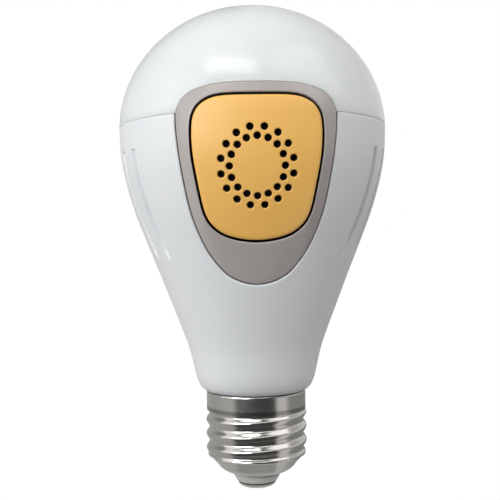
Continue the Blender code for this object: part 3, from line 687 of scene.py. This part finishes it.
def tint(nodes, links, factor, colour, spread):
    """Colour that drifts a little darker and lighter."""
    mix = nodes.new("ShaderNodeMix")
    mix.data_type = "RGBA"
    mix.inputs["A"].default_value = (*[max(c * (1 - spread), 0.0) for c in colour], 1.0)
    mix.inputs["B"].default_value = (*[min(c * (1 + spread), 1.0) for c in colour], 1.0)
    links.new(factor, mix.inputs["Factor"])
    return mix.outputs["Result"]


def add_bump(nodes, links, height, distance, strength=1.0):
    """Bump of a height field on the Principled shader's normal."""
    bump = nodes.new("ShaderNodeBump")
    bump.inputs["Distance"].default_value = distance
    bump.inputs["Strength"].default_value = strength
    links.new(height, bump.inputs["Height"])
    links.new(bump.outputs["Normal"], nodes["Principled BSDF"].inputs["Normal"])


def surface(name, colour, roughness, metallic=0.0, spread=0.03, patch=60.0, grain=3500.0,
            relief=0.00001, rough_spread=0.04, stretch=None):
    """Surface with drifting colour and roughness, and fine grain unless its relief is 0."""
    material, nodes, links = new_material(name)
    shader = nodes["Principled BSDF"]
    shader.inputs["Metallic"].default_value = metallic
    broad = noise(nodes, links, patch)
    links.new(tint(nodes, links, broad, colour, spread), shader.inputs["Base Color"])
    fine = noise(nodes, links, grain, stretch=stretch)
    low, high = roughness - rough_spread, roughness + rough_spread
    links.new(vary(nodes, links, fine, low, high), shader.inputs["Roughness"])
    if relief:
        add_bump(nodes, links, fine, relief)
    return material


def milky_plastic():
    """Diffusing plastic: light enters and spreads before it leaves, and a faint painted glow stands
    in for more of that spread light.
    """
    material = surface("milky_plastic", (0.785, 0.81, 0.785), 0.18, spread=0.012, patch=40.0,
                       grain=2600.0, relief=0.000006)
    shader = material.node_tree.nodes["Principled BSDF"]
    shader.inputs["Subsurface Weight"].default_value = 0.5
    shader.inputs["Subsurface Radius"].default_value = (1.0, 0.95, 0.85)
    shader.inputs["Subsurface Scale"].default_value = 0.006
    # painted light: a faint even glow on the unlit dome, standing in for light that passes through
    # the milky shell
    shader.inputs["Emission Color"].default_value = (0.97, 1.0, 0.98, 1.0)
    shader.inputs["Emission Strength"].default_value = 0.06
    shader.inputs["Coat Weight"].default_value = 0.15
    shader.inputs["Coat Roughness"].default_value = 0.12
    return material


def body_plastic():
    """White body with a fine spark-eroded grain."""
    return surface("body_white", (0.80, 0.806, 0.815), 0.42, spread=0.012, patch=45.0,
                   grain=5200.0, relief=0.000012)


def taupe_satin():
    """Warm grey moulding with a light satin lacquer."""
    material = surface("taupe_satin", (0.455, 0.41, 0.39), 0.36, spread=0.03, patch=120.0,
                       grain=5200.0, relief=0.00001)
    shader = material.node_tree.nodes["Principled BSDF"]
    shader.inputs["Coat Weight"].default_value = 0.6
    shader.inputs["Coat Roughness"].default_value = 0.3
    return material


def gold_paint():
    """Satin gold-yellow paint with a faint pearl in it."""
    material = surface("gold_face", (0.99, 0.545, 0.13), 0.5, spread=0.03, patch=90.0,
                       grain=6000.0, relief=0.000008)
    shader = material.node_tree.nodes["Principled BSDF"]
    shader.inputs["Coat Weight"].default_value = 0.5
    shader.inputs["Coat Roughness"].default_value = 0.36
    return material


def nickel():
    """Rolled nickel plate, with lines drawn round it and small stains."""
    return surface("nickel_plate", (0.62, 0.60, 0.57), 0.20, metallic=1.0, spread=0.10,
                   patch=220.0, grain=2600.0, relief=0.000006, rough_spread=0.06,
                   stretch=(0.25, 0.25, 1.6))


def circuit_board(name, colour):
    """Solder mask with faint tracks under it."""
    material, nodes, links = new_material(name)
    shader = nodes["Principled BSDF"]
    where = nodes.new("ShaderNodeTexCoord")
    tracks = nodes.new("ShaderNodeTexBrick")
    tracks.inputs["Scale"].default_value = 420.0
    tracks.inputs["Mortar Size"].default_value = 0.06
    tracks.inputs["Color1"].default_value = (*colour, 1.0)
    tracks.inputs["Color2"].default_value = (*[c * 0.82 for c in colour], 1.0)
    tracks.inputs["Mortar"].default_value = (*[min(c * 1.7 + 0.02, 1.0) for c in colour], 1.0)
    turned = nodes.new("ShaderNodeMapping")
    turned.inputs["Rotation"].default_value = (math.pi / 2, 0.0, 0.0)
    links.new(where.outputs["Object"], turned.inputs["Vector"])
    links.new(turned.outputs["Vector"], tracks.inputs["Vector"])
    links.new(tracks.outputs["Color"], shader.inputs["Base Color"])
    grain = noise(nodes, links, 2400.0)
    links.new(vary(nodes, links, grain, 0.36, 0.5), shader.inputs["Roughness"])
    add_bump(nodes, links, tracks.outputs["Fac"], 0.00003, 0.6)
    return material


def woven_cloth():
    """Fine black acoustic cloth."""
    material, nodes, links = new_material("mesh_cloth")
    shader = nodes["Principled BSDF"]
    where = nodes.new("ShaderNodeTexCoord")
    threads = []
    for direction in ("X", "Z"):
        wave = nodes.new("ShaderNodeTexWave")
        wave.bands_direction = direction
        wave.inputs["Scale"].default_value = 900.0
        wave.inputs["Distortion"].default_value = 0.4
        links.new(where.outputs["Object"], wave.inputs["Vector"])
        threads.append(wave.outputs["Fac"])
    weave = nodes.new("ShaderNodeMath")
    weave.operation = "MAXIMUM"
    links.new(threads[0], weave.inputs[0])
    links.new(threads[1], weave.inputs[1])
    black = tint(nodes, links, weave.outputs["Value"], (0.012, 0.011, 0.010), 0.6)
    links.new(black, shader.inputs["Base Color"])
    matt = vary(nodes, links, noise(nodes, links, 3000.0), 0.8, 0.95)
    links.new(matt, shader.inputs["Roughness"])
    add_bump(nodes, links, weave.outputs["Value"], 0.00006)
    return material


def wound(name, colour, metallic, scale):
    """Windings or tape with lines across it."""
    material = surface(name, colour, 0.34, metallic=metallic, spread=0.08, patch=300.0, relief=0.0)
    nodes, links = material.node_tree.nodes, material.node_tree.links
    where = nodes.new("ShaderNodeTexCoord")
    lines = nodes.new("ShaderNodeTexWave")
    lines.inputs["Scale"].default_value = scale
    links.new(where.outputs["Object"], lines.inputs["Vector"])
    add_bump(nodes, links, lines.outputs["Fac"], 0.00012)
    return material


def make_materials():
    """All finishes by name, one for each slot of the record."""
    return {
        "body_white": body_plastic(),
        "milky_plastic": milky_plastic(),
        "gold_face": gold_paint(),
        "nickel_plate": nickel(),
        "taupe_satin": taupe_satin(),
        "cap_grey": surface("cap_grey", (0.50, 0.49, 0.47), 0.42, spread=0.06, patch=400.0,
                            grain=1800.0),
        "aluminium": surface("aluminium", (0.72, 0.73, 0.74), 0.36, metallic=1.0, spread=0.05,
                             patch=80.0, grain=1500.0, stretch=(1.0, 1.0, 0.12)),
        "led_board_white": circuit_board("led_board_white", (0.80, 0.80, 0.77)),
        "led_phosphor": surface("led_phosphor", (0.86, 0.74, 0.24), 0.35, spread=0.12,
                                patch=900.0),
        "steel": surface("steel", (0.58, 0.58, 0.58), 0.30, metallic=1.0, spread=0.08,
                         patch=500.0),
        "dark_plastic": surface("dark_plastic", (0.046, 0.037, 0.031), 0.52, spread=0.12,
                                patch=150.0, grain=4200.0, relief=0.00002),
        "contact_gold": surface("contact_gold", (0.83, 0.60, 0.24), 0.24, metallic=1.0,
                                spread=0.06, patch=600.0),
        "board_green": circuit_board("board_green", (0.02, 0.13, 0.055)),
        "tin_shield": surface("tin_shield", (0.62, 0.63, 0.64), 0.32, metallic=1.0, spread=0.06,
                              patch=300.0),
        "battery_foil": surface("battery_foil", (0.50, 0.52, 0.55), 0.34, metallic=0.7,
                                spread=0.08, patch=200.0, grain=900.0, relief=0.00006),
        "mesh_cloth": woven_cloth(),
        "cone_paper": surface("cone_paper", (0.06, 0.055, 0.05), 0.75, spread=0.2, patch=500.0,
                              grain=2500.0, relief=0.00004),
        "ferrite": surface("ferrite", (0.08, 0.08, 0.085), 0.58, spread=0.15, patch=400.0,
                           relief=0.00003),
        "capacitor_sleeve": surface("capacitor_sleeve", (0.035, 0.05, 0.13), 0.36, spread=0.1,
                                    patch=200.0),
        "winding_tape": wound("winding_tape", (0.72, 0.52, 0.08), 0.0, 260.0),
        "copper_winding": wound("copper_winding", (0.62, 0.26, 0.10), 0.9, 420.0),
        "film_yellow": surface("film_yellow", (0.74, 0.50, 0.07), 0.36, spread=0.06, patch=250.0),
        "chip_black": surface("chip_black", (0.03, 0.03, 0.033), 0.52, spread=0.2, patch=400.0),
        "resistor_coat": surface("resistor_coat", (0.16, 0.36, 0.30), 0.42, spread=0.08,
                                 patch=400.0),
        "wire_black": surface("wire_black", (0.02, 0.02, 0.02), 0.42, spread=0.2, patch=300.0),
        "wire_white": surface("wire_white", (0.78, 0.78, 0.75), 0.42, spread=0.04, patch=300.0),
        "wire_red": surface("wire_red", (0.55, 0.035, 0.03), 0.42, spread=0.08, patch=300.0),
    }


def dress(piece, material):
    """Give a piece one material."""
    piece.data.materials.clear()
    piece.data.materials.append(material)


def show_moulding(piece, material):
    """Dark moulding where the paint doesn't reach: the walls of the holes and the back."""
    piece.data.materials.append(material)
    for polygon in piece.data.polygons:
        x, y, z = polygon.center / MM
        if y - face_y(x, z) > PAINT_REACH:
            polygon.material_index = 1


# ---------------------------------------------------------------- studio

def blend(nodes, links, factor, low, high):
    """Mix of two colours by a factor."""
    mix = nodes.new("ShaderNodeMix")
    mix.data_type = "RGBA"
    links.new(factor, mix.inputs["Factor"])
    links.new(low, mix.inputs["A"])
    links.new(high, mix.inputs["B"])
    return mix.outputs["Result"]


def heading(nodes, links, coords):
    """Compass angle of a direction or place in degrees: 0 in front, positive to the right."""
    split = nodes.new("ShaderNodeSeparateXYZ")
    links.new(coords, split.inputs["Vector"])
    turn = nodes.new("ShaderNodeMath")
    turn.operation = "ARCTAN2"
    links.new(split.outputs["X"], turn.inputs[0])
    flip = nodes.new("ShaderNodeMath")
    flip.operation = "MULTIPLY"
    flip.inputs[1].default_value = -1.0
    links.new(split.outputs["Y"], flip.inputs[0])
    links.new(flip.outputs["Value"], turn.inputs[1])
    degrees = nodes.new("ShaderNodeMath")
    degrees.operation = "DEGREES"
    links.new(turn.outputs["Value"], degrees.inputs[0])
    return degrees.outputs["Value"]


def room_tone(nodes, links, angle, stops):
    """Grey level of the studio at a heading, smooth between (heading, level) stops."""
    share = nodes.new("ShaderNodeMapRange")
    share.inputs["From Min"].default_value = -180.0
    share.inputs["From Max"].default_value = 180.0
    links.new(angle, share.inputs["Value"])
    ramp = nodes.new("ShaderNodeValToRGB")
    ramp.color_ramp.interpolation = "EASE"
    marks = ramp.color_ramp.elements
    while len(marks) < len(stops):
        marks.new(0.5)
    for mark, (degrees, level) in zip(marks, stops):
        mark.position = (degrees + 180.0) / 360.0
        mark.color = (level, level, level, 1.0)
    links.new(share.outputs["Result"], ramp.inputs["Fac"])
    return ramp.outputs["Color"]


def make_stage():
    """Floor that is white to the camera, and has the studio's grey tones for other rays."""
    bpy.ops.mesh.primitive_circle_add(vertices=96, radius=2.5, fill_type="NGON", location=(0, 0, 0))
    floor = bpy.context.object
    floor.name = "studio_floor"
    material, nodes, links = new_material("studio_floor")
    shader = nodes["Principled BSDF"]
    shader.inputs["Roughness"].default_value = 0.9
    shader.inputs["Specular IOR Level"].default_value = 0.0
    paper = tint(nodes, links, noise(nodes, links, 8.0), FLOOR_COLOUR, 0.01)
    links.new(paper, shader.inputs["Base Color"])
    where = nodes.new("ShaderNodeTexCoord")
    reach = nodes.new("ShaderNodeVectorMath")
    reach.operation = "LENGTH"
    links.new(where.outputs["Object"], reach.inputs[0])
    away = nodes.new("ShaderNodeMapRange")
    away.interpolation_type = "SMOOTHSTEP"
    away.inputs["From Min"].default_value = UNDERLIGHT_RADII[0]
    away.inputs["From Max"].default_value = UNDERLIGHT_RADII[1]
    links.new(reach.outputs["Value"], away.inputs["Value"])
    near = nodes.new("ShaderNodeRGB")
    near.outputs["Color"].default_value = (UNDERLIGHT, UNDERLIGHT, UNDERLIGHT, 1.0)
    far = room_tone(nodes, links, heading(nodes, links, where.outputs["Object"]), FLOOR_TONES)
    tone = blend(nodes, links, away.outputs["Result"], near.outputs["Color"], far)
    links.new(tone, shader.inputs["Emission Color"])
    shader.inputs["Emission Strength"].default_value = 1.0
    white = nodes.new("ShaderNodeEmission")
    ray = nodes.new("ShaderNodeLightPath")
    mix = nodes.new("ShaderNodeMixShader")
    links.new(ray.outputs["Is Camera Ray"], mix.inputs["Fac"])
    links.new(shader.outputs["BSDF"], mix.inputs[1])
    links.new(white.outputs["Emission"], mix.inputs[2])
    links.new(mix.outputs["Shader"], nodes["Material Output"].inputs["Surface"])
    dress(floor, material)


def make_world():
    """White backdrop for the camera, and for other rays a room in grey tones."""
    world = bpy.data.worlds.new("studio")
    bpy.context.scene.world = world
    world.use_nodes = True
    nodes, links = world.node_tree.nodes, world.node_tree.links
    nodes.clear()
    room = nodes.new("ShaderNodeBackground")
    where = nodes.new("ShaderNodeTexCoord")
    angle = heading(nodes, links, where.outputs["Generated"])
    split = nodes.new("ShaderNodeSeparateXYZ")
    links.new(where.outputs["Generated"], split.inputs["Vector"])
    tone = room_tone(nodes, links, angle, ROOM_BANDS[0][1])
    for (start, end), stops in ROOM_BANDS[1:]:
        rise = nodes.new("ShaderNodeMapRange")
        rise.interpolation_type = "SMOOTHSTEP"
        rise.inputs["From Min"].default_value = math.sin(math.radians(start))
        rise.inputs["From Max"].default_value = math.sin(math.radians(end))
        links.new(split.outputs["Z"], rise.inputs["Value"])
        upper = room_tone(nodes, links, angle, stops)
        tone = blend(nodes, links, rise.outputs["Result"], tone, upper)
    links.new(tone, room.inputs["Color"])
    white = nodes.new("ShaderNodeBackground")
    white.inputs["Color"].default_value = (1.0, 1.0, 1.0, 1.0)
    ray = nodes.new("ShaderNodeLightPath")
    mix = nodes.new("ShaderNodeMixShader")
    out = nodes.new("ShaderNodeOutputWorld")
    links.new(ray.outputs["Is Camera Ray"], mix.inputs["Fac"])
    links.new(room.outputs["Background"], mix.inputs[1])
    links.new(white.outputs["Background"], mix.inputs[2])
    links.new(mix.outputs["Shader"], out.inputs["Surface"])


def add_panel(name, azimuth, elevation, distance, size, watts, colour=(1.0, 1.0, 1.0)):
    """Soft panel aimed at the bulb; azimuth 0 is in front and positive to the right."""
    light = bpy.data.lights.new(name, "AREA")
    light.shape = "RECTANGLE"
    light.size, light.size_y = size
    light.energy = watts
    light.color = colour
    panel = bpy.data.objects.new(name, light)
    bpy.context.scene.collection.objects.link(panel)
    a, e = math.radians(azimuth), math.radians(elevation)
    middle = (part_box("diffuser_dome")[1].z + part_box("centre_contact")[0].z) / 2
    target = Vector((0.0, 0.0, middle))
    outward = Vector((math.sin(a) * math.cos(e), -math.cos(a) * math.cos(e), math.sin(e)))
    panel.location = target + outward * distance
    panel.rotation_euler = (-outward).to_track_quat("-Z", "Y").to_euler()
    panel.visible_camera = False


def make_lights():
    """Cool key and side light from the left, two high panels and a fill from the right."""
    add_panel("key_left", -37.0, 12.0, 0.7, (0.50, 0.27), 2.85, (0.96, 0.99, 1.0))
    add_panel("side_left", -70.0, 20.0, 0.7, (0.5, 0.6), 0.8)
    add_panel("overhead", -25.0, 55.0, 0.8, (0.48, 0.19), 1.05)
    add_panel("front_high", 5.0, 28.0, 0.8, (0.80, 0.14), 0.8)
    add_panel("fill_right", 60.0, 45.0, 0.8, (0.6, 0.6), 1.3)


def make_camera():
    """Camera level with the middle of the body, close enough to show perspective."""
    distance, height = 0.228, 0.0633
    heading_degrees, aside, down, lean = -1.9, 0.26, 0.42, -0.83
    azimuth = math.radians(heading_degrees)
    camera_data = bpy.data.cameras.new("camera")
    camera_data.sensor_width = 36.0
    camera_data.lens = 62.64
    camera = bpy.data.objects.new("camera", camera_data)
    bpy.context.scene.collection.objects.link(camera)
    camera.location = (distance * math.sin(azimuth), -distance * math.cos(azimuth), height)
    aim = Matrix.Rotation(azimuth + math.radians(aside), 4, "Z")
    tilt = Matrix.Rotation(math.radians(90.0 - down), 4, "X")
    roll = Matrix.Rotation(math.radians(lean), 4, "Z")
    camera.matrix_world = Matrix.Translation(camera.location) @ aim @ tilt @ roll
    bpy.context.scene.camera = camera


def main():
    """Dress the CAD nodes, put the fine pieces in place and set up the studio."""
    make_camera()
    materials = make_materials()
    for entry in frame["record"]["subparts"]:
        dress(frame["nodes"][entry["node"]], materials[entry["material_slot"]])
    cone, button = make_cap_tip()
    shown = (
        (make_body(), "lamp_body", "body_white", "housing_shell"),
        (make_dome(), "lamp_body", "milky_plastic", "diffuser_dome"),
        (make_bezel(), "lamp_body", "taupe_satin", "bezel"),
        (make_module_face(), "sound_module", "gold_face", "module_front_cover"),
        (make_module_back(), "sound_module", "dark_plastic", "module_case"),
        (make_bay_pocket(), "lamp_body", "dark_plastic", "bay_liner"),
        (make_cap(), "lamp_body", "nickel_plate", "screw_shell"),
        (cone, "lamp_body", "cap_grey", "cap_insulator"),
        (button, "lamp_body", "nickel_plate", "centre_contact"),
        (make_coil("eject_coil_left", "eject_spring_left"), "lamp_body", "steel",
         "eject_spring_left"),
        (make_coil("eject_coil_right", "eject_spring_right"), "lamp_body", "steel",
         "eject_spring_right"),
    )
    for piece, body, finish, node in shown:
        dress(piece, materials[finish])
        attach(piece, body)
        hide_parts(node)
        if finish == "gold_face":
            show_moulding(piece, materials["dark_plastic"])
    make_stage()
    make_world()
    make_lights()
    bpy.context.scene.view_settings.view_transform = "Standard"


main()
